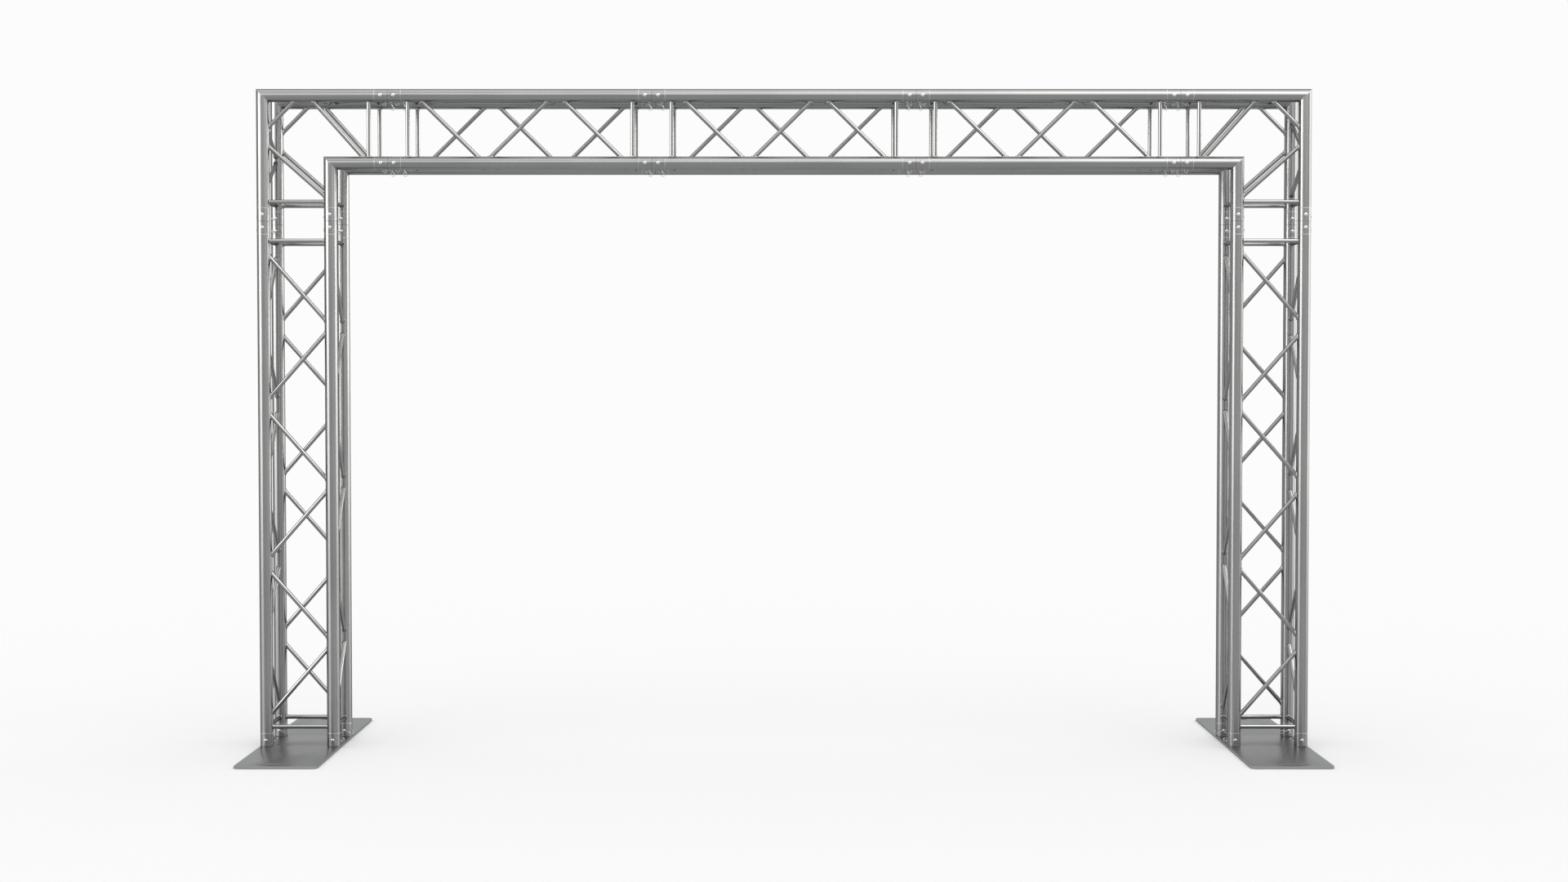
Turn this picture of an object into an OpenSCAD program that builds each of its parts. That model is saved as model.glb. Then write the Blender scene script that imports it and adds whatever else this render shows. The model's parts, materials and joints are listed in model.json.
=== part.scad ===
// A freestanding portal arch of square aluminium truss, standing on two base plates.
// Five straight truss sections and two corners are held together by conical couplers,
// tapered pins and spring clips. X runs along the span, Y through the depth and Z up.
// The origin is on the ground, under the middle of the arch.

/* [Arch] */
// Length of each straight beam section, from joint to joint
beam_len = 1000; // [700:10:2000]
// Length of each leg, from the base plate to the corner
leg_len = 2000; // [1000:10:3000]
// Length of a corner's arms, from the outer edge to the joint
corner_len = 500; // [430:5:700]

/* [Truss] */
// Outside width and depth of the square truss
truss_w = 305; // [250:1:370]
// Outside diameter of the four chord tubes
chord_d = 50; // [42:1:60]
// Wall of the chord tubes
chord_wall = 2; // [1.5:0.5:3]
// Outside diameter of the bracing tubes
brace_d = 16; // [12:1:20]
// Wall of the bracing tubes
brace_wall = 2; // [1:0.5:3]
// Distance from the end of a section to its end frame
end_frame_inset = 74; // [65:1:78]
// Distance from a leg's foot to its first brace
leg_foot_inset = 93.5; // [90:0.5:120]
// Distance from a leg's top to its last brace
leg_top_inset = 98.5; // [90:0.5:120]
// Distance from each end of a beam section to its first brace
beam_node_inset = 94.5; // [90:0.5:120]
// Distance between the ends of neighbouring braces, along an outer chord
node_gap = 21; // [0:1:40]
// Diagonals on each face of a leg
leg_bays = 6; // [2:1:10]
// Diagonals on each face of a beam section
beam_bays = 3; // [2:1:6]
// Diagonals on the top face and the outer face of a corner
corner_bays = 2; // [1:1:3]
// Distance from a corner's outer edge, and from its joint, to its zigzag braces
corner_node_inset = 100; // [95:1:120]
// Distance from a corner's outer edge to its short diagonal tie
corner_tie_at = 165; // [150:1:170]
// Distance from a corner's outer edge to its long diagonals
corner_brace_at = 197; // [187:1:210]
// Distance from a corner's joint to the inner end of its long diagonals
corner_brace_inset = 76; // [75:1:100]
// Gap left for the weld at each fitted tube end
weld_gap = 0.2; // [0.1:0.1:0.5]

/* [Joints] */
// Length of a chord's end socket outside the tube
socket_len = 50; // [48:1:60]
// Length of the socket's spigot inside the tube
spigot_len = 40; // [20:1:60]
// Gap around a spigot in its tube
spigot_gap = 0.15; // [0.05:0.05:0.3]
// Radius of a coupler at the joint
coupler_r = 18; // [17:0.5:19]
// Radius of a coupler at its tip
coupler_tip_r = 14; // [13:0.5:15]
// Length of a coupler inside one socket
coupler_len = 44; // [40:1:46]
// Gap around a coupler in its socket
coupler_gap = 0.1; // [0.05:0.05:0.3]
// Distance from a joint to the pins on each side of it
pin_inset = 24.5; // [22:0.5:28]
// Diameter of a pin at the outer side of its chord
pin_big_d = 13.5; // [12:0.5:14]
// Diameter of a pin at the inner side of its chord
pin_small_d = 11; // [9:0.5:12]
// Length of a pin's head outside its chord
pin_head = 4; // [2:0.5:8]
// Length of a pin's tail inside the truss
pin_tail = 12; // [11:0.5:16]
// Chamfer on both ends of a pin
pin_chamfer = 1; // [0.5:0.25:2]
// Gap around a pin in its hole
pin_gap = 0.1; // [0.05:0.05:0.3]

/* [Spring clips] */
// Diameter of the clip's wire
wire_d = 2.4; // [2:0.1:3]
// Distance from the pin's centre to the end of the clip's ring
clip_reach = 35; // [33:1:45]
// Radius of the clip's ring to the middle of the wire
clip_ring_r = 6; // [5:0.5:7]
// Length of the clip's straight leg past the pin's centre
clip_tip = 8; // [7:0.5:10]
// Distance along the pin from the chord to the clip
clip_seat = 6.5; // [4:0.5:8]
// Gap between a clip and its pin
clip_gap = 0.3; // [0.2:0.05:0.5]

/* [Base plates] */
// Thickness of a base plate
plate_t = 10; // [8:1:15]
// Length of a base plate through the depth of the arch
plate_depth = 1200; // [600:10:1600]
// Width of a base plate past each side of the truss
plate_margin = 0; // [0:5:100]
// Radius of a plate's corners
plate_corner_r = 20; // [5:1:40]
// Length of the carrying slot
handle_len = 115; // [90:1:140]
// Width of the carrying slot
handle_w = 30; // [25:1:40]
// Distance from a plate's end to the middle of its slot
handle_inset = 35; // [30:1:80]
// Diameter of the bolts that hold the couplers to a plate
bolt_d = 12; // [10:1:14]
// Diameter of a bolt's countersunk head
bolt_head_d = 24; // [20:1:28]
// Length of bolt inside a coupler
bolt_grip = 14; // [10:0.5:15]
// Depth of a bolt's head below the plate's underside
bolt_recess = 0.5; // [0.2:0.1:1]
// Gap around a bolt
bolt_gap = 0.15; // [0.05:0.05:0.5]

/* [Hidden] */
$fn = 48;
WIRE_FN = 16;
EPS = 1;

span = 3 * beam_len + 2 * corner_len;
height = plate_t + leg_len + corner_len;
chord_r = chord_d / 2;
// Half the distance between neighbouring chord axes
chord_c = (truss_w - chord_d) / 2;
leg_x = span / 2 - truss_w / 2;
leg_top = plate_t + leg_len;
beam_z = height - truss_w / 2;
// Distances of a corner's outer and inner chord axes from its outer edges
corner_axes = [chord_r, chord_r + 2 * chord_c];

// Shapes of a straight section: length, diagonals on each face, insets of the end braces
LEG = [leg_len, leg_bays, leg_foot_inset, leg_top_inset];
BEAM = [beam_len, beam_bays, beam_node_inset, beam_node_inset];

// Straight sections: name, shape, start, turn. Chords 0 and 3 end up on the arch's outside
SECTIONS = [
    ["leg_left", LEG, [-leg_x, 0, plate_t], [0, 0, 0]],
    ["leg_right", LEG, [leg_x, 0, plate_t], [0, 0, 180]],
    ["beam_left", BEAM, [-1.5 * beam_len, 0, beam_z], [0, 90, 0]],
    ["beam_middle", BEAM, [-0.5 * beam_len, 0, beam_z], [0, 90, 0]],
    ["beam_right", BEAM, [0.5 * beam_len, 0, beam_z], [0, 90, 0]]
];

// Corners: name, turn about Z
CORNERS = [["corner_left", 0], ["corner_right", 180]];

// Joints: name, middle, turn about Y, way the clips pull off, side of the clips' rings, pin rows
JOINTS = [
    ["left_leg_joint", [-leg_x, 0, leg_top], 0, -1, -1, [-1, 1]],
    ["left_corner_joint", [-1.5 * beam_len, 0, beam_z], 90, 1, 1, [-1, 1]],
    ["left_beam_joint", [-0.5 * beam_len, 0, beam_z], 90, 1, 1, [-1, 1]],
    ["right_beam_joint", [0.5 * beam_len, 0, beam_z], 90, 1, 1, [-1, 1]],
    ["right_corner_joint", [1.5 * beam_len, 0, beam_z], 90, 1, 1, [-1, 1]],
    ["right_leg_joint", [leg_x, 0, leg_top], 0, 1, -1, [-1, 1]]
];
BASES = [
    ["left_base", [-leg_x, 0, plate_t], 0, 1, -1, [1]],
    ["right_base", [leg_x, 0, plate_t], 0, -1, -1, [1]]
];

TRUSS_PARTS = ["_chords", "_sockets", "_end_frames", "_braces"];
JOINT_PARTS = ["_couplers", "_pins", "_clips"];
BASE_PARTS = ["_plate", "_bolts"];

// ---- Tubes ----

// Draws its children along a line, with their Z running from a towards b.
module along(a, b) {
    run = b - a;
    translate(a)
        rotate([0, acos(run.z / norm(run)), atan2(run.y, run.x)])
            children();
}

module tube(len, d, wall) {
    difference() {
        cylinder(d = d, h = len);
        translate([0, 0, -EPS]) cylinder(d = d - 2 * wall, h = len + 2 * EPS);
    }
}

// The space that a chord along dir and its weld take from a tube that ends at point p.
module cope(p, dir) {
    along(p - 2 * chord_d * dir, p + 2 * chord_d * dir)
        cylinder(r = chord_r + weld_gap, h = 4 * chord_d);
}

// A bracing tube between points a and b on two chord axes, cut to fit around both chords.
module brace(a, b, dir_a, dir_b) {
    difference() {
        along(a, b) tube(norm(b - a), brace_d, brace_wall);
        cope(a, dir_a);
        cope(b, dir_b);
    }
}

// ---- Pins and what they pass through ----

// Radius of a pin at a distance t from its chord's axis, counted inwards.
function pin_r(t) = (pin_big_d + pin_small_d) / 4 - (pin_big_d - pin_small_d) / 2 * t / chord_d;

// Turns Z to point into the truss, for a chord on that side of it.
module inwards(side) {
    rotate([90 * side, 0, 0]) children();
}

module pin_hole(side) {
    from = -chord_r - EPS;
    to = chord_r + EPS;
    inwards(side)
        translate([0, 0, from])
            cylinder(r1 = pin_r(from) + pin_gap, r2 = pin_r(to) + pin_gap, h = to - from);
}

module pin(side) {
    from = -chord_r - pin_head;
    to = chord_r + pin_tail;
    difference() {
        inwards(side)
            rotate_extrude()
                polygon([
                    [0, from],
                    [pin_r(from) - pin_chamfer, from],
                    [pin_r(from), from + pin_chamfer],
                    [pin_r(to), to - pin_chamfer],
                    [pin_r(to) - pin_chamfer, to],
                    [0, to]
                ]);
        inwards(side)
            translate([0, 0, chord_r + clip_seat])
                rotate([0, 90, 0])
                    cylinder(d = wire_d + 2 * clip_gap, h = 2 * pin_big_d, center = true);
    }
}

// A chord's end socket, with its mouth at the origin and its spigot along Z.
module socket(side) {
    difference() {
        union() {
            cylinder(r = chord_r, h = socket_len);
            cylinder(r = chord_r - chord_wall - spigot_gap, h = socket_len + spigot_len);
        }
        translate([0, 0, -EPS]) cylinder(r = coupler_r + coupler_gap, h = EPS + 0.01);
        cylinder(
            r1 = coupler_r + coupler_gap,
            r2 = coupler_tip_r + coupler_gap,
            h = coupler_len
        );
        translate([0, 0, coupler_len - EPS])
            cylinder(r = coupler_tip_r - 1, h = socket_len + spigot_len);
        translate([0, 0, pin_inset]) pin_hole(side);
    }
}

// ---- Straight sections, drawn along Z ----

// Point on chord k at height z, with the chords counted round from the front left.
function on_chord(k, z) = [
    [-1, 1, 1, -1][k % 4] * chord_c,
    [-1, -1, 1, 1][k % 4] * chord_c,
    z
];
function side_of(k) = sign(on_chord(k, 0).y);

module place(s) {
    translate(s[2]) rotate(s[3]) children();
}

module section_chords(s) {
    color("silver")
        place(s)
            for (k = [0:3])
                translate(on_chord(k, socket_len))
                    tube(s[1][0] - 2 * socket_len, chord_d, chord_wall);
}

module section_sockets(s) {
    color("lightgray")
        place(s)
            for (k = [0:3]) {
                translate(on_chord(k, 0)) socket(side_of(k));
                translate(on_chord(k, s[1][0])) rotate([0, 180, 0]) socket(side_of(k));
            }
}

module section_end_frames(s) {
    color("gainsboro")
        place(s)
            for (k = [0:3])
                for (z = [end_frame_inset, s[1][0] - end_frame_inset])
                    brace(on_chord(k, z), on_chord(k + 1, z), [0, 0, 1], [0, 0, 1]);
}

// How far a brace on chord k ends short of its level. Only an outer chord keeps a gap.
function end_shift(k) = on_chord(k, 0).x < 0 ? node_gap / 2 : 0;

// Each face zigzags between its two chords, a quarter turn on from the face before it.
module section_braces(s) {
    bays = s[1][1];
    foot = s[1][2];
    pitch = (s[1][0] - foot - s[1][3]) / bays;
    color("gainsboro")
        place(s)
            for (k = [0:3])
                for (i = [0 : bays - 1]) {
                    a = k + i % 2;
                    b = k + (i + 1) % 2;
                    brace(
                        on_chord(a, foot + i * pitch + end_shift(a)),
                        on_chord(b, foot + (i + 1) * pitch - end_shift(b)),
                        [0, 0, 1],
                        [0, 0, 1]
                    );
                }
}

// ---- Corners, drawn as the left one with its outer edge at the origin ----

module place_corner(c) {
    rotate([0, 0, c[1]]) translate([-span / 2, 0, height]) children();
}

// Removes what lies past the mitre plane, which halves the right angle between two tubes.
module mitre(turn) {
    size = 4 * corner_len;
    difference() {
        children();
        rotate([0, turn, 0])
            translate([-size / 2, -size / 2, -weld_gap / 2])
                cube(size);
    }
}

module corner_chords(c) {
    end = corner_len - socket_len;
    color("silver")
        place_corner(c)
            for (y = [-chord_c, chord_c])
                for (e = corner_axes) {
                    from = e - chord_r;
                    mitre(45)
                        translate([e, y, -end]) tube(end - from, chord_d, chord_wall);
                    mitre(225)
                        along([from, y, -e], [end, y, -e])
                            tube(end - from, chord_d, chord_wall);
                }
}

module corner_sockets(c) {
    color("lightgray")
        place_corner(c)
            for (y = [-chord_c, chord_c])
                for (e = corner_axes) {
                    translate([e, y, -corner_len]) socket(sign(y));
                    translate([corner_len, y, -e]) rotate([0, -90, 0]) socket(sign(y));
                }
}

module corner_end_frames(c) {
    at = corner_len - end_frame_inset;
    outer = corner_axes[0];
    inner = corner_axes[1];
    color("gainsboro")
        place_corner(c) {
            for (y = [-chord_c, chord_c]) {
                brace([outer, y, -at], [inner, y, -at], [0, 0, 1], [0, 0, 1]);
                brace([at, y, -outer], [at, y, -inner], [1, 0, 0], [1, 0, 0]);
            }
            for (e = corner_axes) {
                brace([e, -chord_c, -at], [e, chord_c, -at], [0, 0, 1], [0, 0, 1]);
                brace([at, -chord_c, -e], [at, chord_c, -e], [1, 0, 0], [1, 0, 0]);
            }
        }
}

module corner_braces(c) {
    outer = corner_axes[0];
    inner = corner_axes[1];
    tie = corner_tie_at;
    from = corner_brace_at;
    to = corner_len - corner_brace_inset;
    pitch = (corner_len - 2 * corner_node_inset) / corner_bays;
    color("gainsboro")
        place_corner(c) {
            for (y = [-chord_c, chord_c]) {
                brace([tie, y, -outer], [outer, y, -tie], [1, 0, 0], [0, 0, 1]);
                brace([from, y, -outer], [to, y, -inner], [1, 0, 0], [1, 0, 0]);
                brace([outer, y, -from], [inner, y, -to], [0, 0, 1], [0, 0, 1]);
            }
            for (i = [0 : corner_bays - 1]) {
                a = corner_node_inset + i * pitch;
                b = a + pitch;
                y = i % 2 == 0 ? -chord_c : chord_c;
                brace([outer, y, -a], [outer, -y, -b], [0, 0, 1], [0, 0, 1]);
                brace([a, y, -outer], [b, -y, -outer], [1, 0, 0], [1, 0, 0]);
            }
        }
}

// ---- Joints, drawn with their chords along Z ----

module place_joint(j) {
    translate(j[1]) rotate([0, j[2], 0]) children();
}

// One end of a coupler, with its wide end at the origin. Two of them make a whole coupler.
module coupler_half() {
    cylinder(r1 = coupler_r, r2 = coupler_tip_r, h = coupler_len);
}

module joint_couplers(j) {
    color("darkgray")
        place_joint(j)
            for (k = [0:3])
                translate(on_chord(k, 0))
                    difference() {
                        union() {
                            coupler_half();
                            rotate([180, 0, 0]) coupler_half();
                        }
                        for (row = j[5])
                            translate([0, 0, row * pin_inset]) pin_hole(side_of(k));
                    }
}

module joint_pins(j) {
    color("whitesmoke")
        place_joint(j)
            for (k = [0:3])
                for (row = j[5])
                    translate(on_chord(k, row * pin_inset)) pin(side_of(k));
}

// ---- Spring clips ----

// The clip lies in the XY plane, with the pin's centre at the origin and its ring towards X.
clip_out = 35;
clip_back = 30;
clip_nip_r = 4;
clip_bow_r = 8;
clip_flare = 20;
clip_side = pin_r(chord_r + clip_seat) + wire_d / 2 + clip_gap;
clip_nip = wire_d + 0.2;
// A run laps into the bends on both sides of it, which are drawn a hair thicker
clip_lap = 0.3;
clip_bend_d = wire_d + 0.06;
clip_ring_x = clip_reach - wire_d / 2 - clip_ring_r;
clip_run_out = (clip_ring_r * (1 + cos(clip_out)) - clip_nip_r * (1 - cos(clip_out)) - clip_nip)
    / sin(clip_out);
clip_run_back = (clip_side - clip_nip - (clip_nip_r + clip_bow_r) * (1 - cos(clip_back)))
    / sin(clip_back);

// The wire's course from its straight tip: length of a run, or radius and angle of a bend
CLIP_STEPS = [
    [clip_tip + clip_ring_x, 0, 0],
    [0, clip_ring_r, 180 + clip_out],
    [clip_run_out, 0, 0],
    [0, clip_nip_r, -clip_out - clip_back],
    [clip_run_back, 0, 0],
    [0, clip_bow_r, clip_back],
    [pin_small_d / 2, 0, 0],
    [0, clip_ring_r, -clip_flare],
    [wire_d, 0, 0]
];

// Place and heading of the wire after the first i steps: x, y, angle
function wire_at(i) =
    i == 0
        ? [-clip_tip, 0, 0]
        : let (
            p = wire_at(i - 1),
            step = CLIP_STEPS[i - 1],
            turned = p.z + step.z,
            r = step.y * sign(step.z)
        )
        step.y == 0
            ? [p.x + step.x * cos(p.z), p.y + step.x * sin(p.z), p.z]
            : [p.x + r * (sin(turned) - sin(p.z)), p.y - r * (cos(turned) - cos(p.z)), turned];

// A bend of the wire that starts at the origin, heading along X.
module wire_bend(r, angle) {
    hand = sign(angle);
    translate([0, hand * r, 0])
        rotate([0, 0, hand > 0 ? -90 : 90 + angle])
            rotate_extrude(angle = abs(angle))
                translate([r, 0])
                    circle(d = clip_bend_d, $fn = WIRE_FN);
}

module wire_run(len) {
    translate([-clip_lap, 0, 0])
        rotate([0, 90, 0])
            cylinder(d = wire_d, h = len + 2 * clip_lap, $fn = WIRE_FN);
}

module clip() {
    for (i = [0 : len(CLIP_STEPS) - 1]) {
        p = wire_at(i);
        step = CLIP_STEPS[i];
        translate([p.x, p.y, 0])
            rotate([0, 0, p.z])
                if (step.y == 0) wire_run(step.x);
                else wire_bend(step.y, step.z);
    }
}

module joint_clips(j) {
    y = chord_c - chord_r - clip_seat;
    color("whitesmoke")
        place_joint(j)
            for (k = [0:3])
                for (row = j[5])
                    translate([on_chord(k, 0).x, side_of(k) * y, row * pin_inset])
                        rotate([j[4] < 0 ? 180 : 0, 0, j[3] < 0 ? 180 : 0])
                            rotate([90, 0, 0])
                                clip();
}

// ---- Base plates ----

plate_w = truss_w + 2 * plate_margin;

// The countersunk head and the shank of a bolt, each grown by a gap, with the head at the bottom.
module bolt_shape(gap, tip) {
    head_h = (bolt_head_d - bolt_d) / 2;
    translate([0, 0, bolt_recess])
        cylinder(r1 = bolt_head_d / 2 + gap, r2 = bolt_d / 2 + gap, h = head_h);
    translate([0, 0, bolt_recess]) cylinder(r = bolt_d / 2 + gap, h = tip - bolt_recess);
}

module base_plate(b) {
    foot = [b[1].x, b[1].y, 0];
    w = plate_w / 2 - plate_corner_r;
    d = plate_depth / 2 - plate_corner_r;
    color("darkgray")
        translate(foot)
            difference() {
                union() {
                    translate([-plate_w / 2, -d, 0]) cube([plate_w, 2 * d, plate_t]);
                    translate([-w, -plate_depth / 2, 0]) cube([2 * w, plate_depth, plate_t]);
                    for (x = [-w, w])
                        for (y = [-d, d])
                            translate([x, y, 0]) cylinder(r = plate_corner_r, h = plate_t);
                }
                for (side = [-1, 1])
                    translate([0, side * (plate_depth / 2 - handle_inset), 0]) handle_slot();
                for (k = [0:3])
                    translate(on_chord(k, 0)) {
                        translate([0, 0, -EPS])
                            cylinder(r = bolt_head_d / 2 + bolt_gap, h = bolt_recess + EPS);
                        bolt_shape(bolt_gap, plate_t + EPS);
                    }
            }
}

module handle_slot() {
    reach = (handle_len - handle_w) / 2;
    through = plate_t + 2 * EPS;
    translate([0, 0, -EPS]) {
        translate([-reach, -handle_w / 2, 0]) cube([2 * reach, handle_w, through]);
        for (x = [-reach, reach])
            translate([x, 0, 0]) cylinder(d = handle_w, h = through);
    }
}

module base_couplers(b) {
    color("darkgray")
        place_joint(b)
            for (k = [0:3])
                translate(on_chord(k, 0))
                    difference() {
                        coupler_half();
                        translate([0, 0, pin_inset]) pin_hole(side_of(k));
                        translate([0, 0, -EPS])
                            cylinder(r = bolt_d / 2 + bolt_gap, h = bolt_grip + 2 * EPS);
                    }
}

module base_bolts(b) {
    color("dimgray")
        translate([b[1].x, b[1].y, 0])
            for (k = [0:3])
                translate(on_chord(k, 0)) bolt_shape(0, plate_t + bolt_grip);
}

// ---- Nodes ----

for (s = SECTIONS) {
    section_chords(s);
    section_sockets(s);
    section_end_frames(s);
    section_braces(s);
}
for (c = CORNERS) {
    corner_chords(c);
    corner_sockets(c);
    corner_end_frames(c);
    corner_braces(c);
}
for (j = JOINTS) {
    joint_couplers(j);
}
for (j = concat(JOINTS, BASES)) {
    joint_pins(j);
    joint_clips(j);
}
for (b = BASES) {
    base_couplers(b);
    base_plate(b);
    base_bolts(b);
}
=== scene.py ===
# %% [markdown]
# # A truss arch for exhibitions and stages
# The real object is a goal post of square aluminium truss. Two upright sections stand on flat
# base plates, a corner block sits on each of them, and three straight sections make the beam.
# Conical couplers, tapered pins and spring clips hold the sections together.
#
# The construction comes as a finished frame, in metres, with the origin on the ground under the
# middle of the arch, X along the span, Y to the back and Z up. This lesson gives every piece the
# shape and the surface that it has close up: fitted tube ends, weld beads, turned sockets with
# real pin holes, bent wire clips and eased plate edges.

# %% Load the frame
import json
import math

import bmesh
import bpy
from mathutils import Matrix, Vector

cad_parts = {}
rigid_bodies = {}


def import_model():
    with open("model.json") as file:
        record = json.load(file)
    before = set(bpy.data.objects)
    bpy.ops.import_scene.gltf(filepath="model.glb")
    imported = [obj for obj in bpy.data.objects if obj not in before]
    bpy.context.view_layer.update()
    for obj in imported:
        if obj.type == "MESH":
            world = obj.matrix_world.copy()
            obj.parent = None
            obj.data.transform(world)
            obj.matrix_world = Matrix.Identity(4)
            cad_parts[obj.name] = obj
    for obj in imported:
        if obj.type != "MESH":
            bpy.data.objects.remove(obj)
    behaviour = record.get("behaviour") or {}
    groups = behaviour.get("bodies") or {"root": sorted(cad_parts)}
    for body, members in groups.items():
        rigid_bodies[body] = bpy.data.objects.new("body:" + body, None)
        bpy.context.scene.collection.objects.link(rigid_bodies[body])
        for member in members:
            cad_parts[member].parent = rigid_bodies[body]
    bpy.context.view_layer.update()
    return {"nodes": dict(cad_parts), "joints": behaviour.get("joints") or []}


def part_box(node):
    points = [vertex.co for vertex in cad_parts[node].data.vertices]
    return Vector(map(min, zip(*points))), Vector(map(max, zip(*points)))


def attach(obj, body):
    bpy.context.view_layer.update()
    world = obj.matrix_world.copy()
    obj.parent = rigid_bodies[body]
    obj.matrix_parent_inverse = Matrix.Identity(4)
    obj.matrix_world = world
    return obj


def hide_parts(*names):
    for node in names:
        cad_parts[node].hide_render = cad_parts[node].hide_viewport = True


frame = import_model()

# %% [markdown]
# ## Sizes
# The places of the sections are read from the frame, so nothing is fitted by eye. What a box
# can't tell, such as a tube's radius or the distance from a joint to its pins, is a named size.

# %% Sizes of the tubes and the joints, in metres
CHORD_R = 0.025
BRACE_R = 0.008
SOCKET_LEN = 0.050
END_FRAME_INSET = 0.074
LEG_FOOT_INSET = 0.0935
LEG_TOP_INSET = 0.0985
BEAM_INSET = 0.0945
NODE_GAP = 0.021
CORNER_NODE = 0.100
CORNER_TIE = 0.165
CORNER_BRACE = 0.197
CORNER_BRACE_INSET = 0.076
PIN_INSET = 0.0245

X, Y, Z = Vector((1, 0, 0)), Vector((0, 1, 0)), Vector((0, 0, 1))
print("chord", 2000 * CHORD_R, "mm, brace", 2000 * BRACE_R, "mm")

# %% [markdown]
# ## The camera
# It stands in front of the middle of the arch at a person's chest height and looks slightly
# down. A long lens keeps the legs nearly parallel. The camera comes first, so that every later
# piece can be looked at as soon as it is made.

# %% Camera
CAMERA_PLACE = (0.0004, -9.3361, 1.480)
CAMERA_DOWN = math.radians(1.8922)

camera_data = bpy.data.cameras.new("camera")
camera_data.lens = 55.574
camera_data.sensor_width = 36.0
camera = bpy.data.objects.new("camera", camera_data)
camera.location = CAMERA_PLACE
camera.rotation_euler = (math.radians(90) - CAMERA_DOWN, 0, 0)
bpy.context.scene.collection.objects.link(camera)
bpy.context.scene.camera = camera
print("camera", CAMERA_PLACE, "lens", camera_data.lens, "mm")

# %% [markdown]
# ## Finishes
# Nearly everything here is bare aluminium, and bare metal is told apart by its tool marks. A
# drawn tube has fine lines along its length, a turned socket has rings round its axis, a rolled
# plate has long soft bands, and a weld is dull and rippled. One function makes the common part,
# a metal shader with noise for tone, roughness and relief, and each finish stretches the noise
# its own way. A pattern that follows a tube reads the tube's own coordinates, which the
# Geometry Nodes below store on it as an attribute, so the lines run along every diagonal too.
#
# In a white room a tube as pale as real aluminium would vanish against the background. So the
# tones are kept low, and the light panels of the last part draw the bright lines on them.

# %% Node helpers
def feed(tree, socket, value):
    """Links a value that is another node's output, or sets it if it is a plain one."""
    if isinstance(value, bpy.types.NodeSocket):
        tree.links.new(value, socket)
    else:
        socket.default_value = value


def add_node(tree, kind, inputs, output=0, **settings):
    """Adds a node, gives it its settings and inputs, and returns the output that is wanted."""
    node = tree.nodes.new(kind)
    for name, value in settings.items():
        setattr(node, name, value)
    for name, value in inputs.items():
        feed(tree, node.inputs[name], value)
    return node.outputs[output]


# %% Noise on a surface
def add_noise(tree, place, stretch, detail):
    """Noise of a piece's coordinates, stretched by so many cells per metre along each axis."""
    scaled = add_node(tree, "ShaderNodeVectorMath", {0: place, 1: stretch}, operation="MULTIPLY")
    return add_node(
        tree, "ShaderNodeTexNoise", {"Vector": scaled, "Scale": 1.0, "Detail": detail}, "Fac")


def between(tree, factor, low, high):
    """Maps the middle of a noise onto the range from low to high."""
    ends = {"From Min": 0.3, "From Max": 0.7, "To Min": low, "To Max": high}
    return add_node(tree, "ShaderNodeMapRange", {"Value": factor, **ends}, "Result")


def place_output(tree, attribute):
    """The piece's own coordinates: a stored attribute, or the object's if attribute is None."""
    if attribute is None:
        return add_node(tree, "ShaderNodeTexCoord", {}, "Object")
    return add_node(tree, "ShaderNodeAttribute", {}, "Vector", attribute_name=attribute)


# %% The common metal
def metal(name, tone, tint, roughness, marks, patches, relief, edge, attribute=None, stretch=0.0):
    """A bare metal. tone and roughness are (low, high), relief is (strength, metres), and marks
    and patches are noise stretches. edge tones the grazing reflections down. stretch draws the
    reflections out along the piece's own axis, as polishing round a tube does."""
    material = bpy.data.materials.new(name)
    material.use_nodes = True
    tree = material.node_tree
    place = place_output(tree, attribute)
    fine = add_noise(tree, place, marks, 3.0)
    broad = add_noise(tree, place, patches, 2.0)
    dark, pale = ((*[level * c for c in tint], 1) for level in tone)
    sockets = {
        "Metallic": 1.0,
        "Specular Tint": (edge, edge, edge, 1),
        "Base Color": add_node(
            tree, "ShaderNodeMix", {"Factor": between(tree, broad, 0.0, 1.0), "A": dark, "B": pale},
            "Result", data_type="RGBA"),
        "Roughness": between(tree, fine, *roughness),
        "Normal": add_node(
            tree, "ShaderNodeBump", {"Strength": relief[0], "Distance": relief[1], "Height": fine},
            "Normal"),
    }
    if stretch:
        sockets["Anisotropic"] = stretch
        sockets["Tangent"] = place_output(tree, "own_axis")
    for socket, value in sockets.items():
        feed(tree, tree.nodes["Principled BSDF"].inputs[socket], value)
    return material


# %% The finishes of the arch
NEUTRAL = (0.98, 1.0, 0.998)
ZINC = (0.99, 1.0, 1.01)

chord_finish = metal(
    "drawn_chord_tube", (0.20, 0.225), NEUTRAL, (0.21, 0.29), (500, 500, 5), (9, 9, 2.5),
    (0.08, 0.0002), 0.45, "tube_place", 0.85)
brace_finish = metal(
    "drawn_brace_tube", (0.215, 0.24), NEUTRAL, (0.12, 0.18), (700, 700, 8), (20, 20, 4),
    (0.06, 0.0002), 0.45, "tube_place", 0.85)
socket_finish = metal(
    "turned_socket", (0.20, 0.225), NEUTRAL, (0.21, 0.29), (20, 20, 1800), (30, 30, 60),
    (0.04, 0.0001), 0.45, "part_place", 0.85)
weld_finish = metal(
    "weld_bead", (0.26, 0.36), NEUTRAL, (0.3, 0.45), (420, 420, 420), (60, 60, 60),
    (0.6, 0.0006), 0.45)
pin_finish = metal(
    "zinc_plated_pin", (0.42, 0.55), ZINC, (0.14, 0.26), (900, 900, 60), (120, 120, 120),
    (0.2, 0.0002), 0.6, "part_place")
clip_finish = metal(
    "bright_spring_wire", (0.45, 0.52), ZINC, (0.1, 0.18), (600, 600, 600), (80, 80, 80),
    (0.05, 0.0001), 0.6, "part_place")
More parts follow.
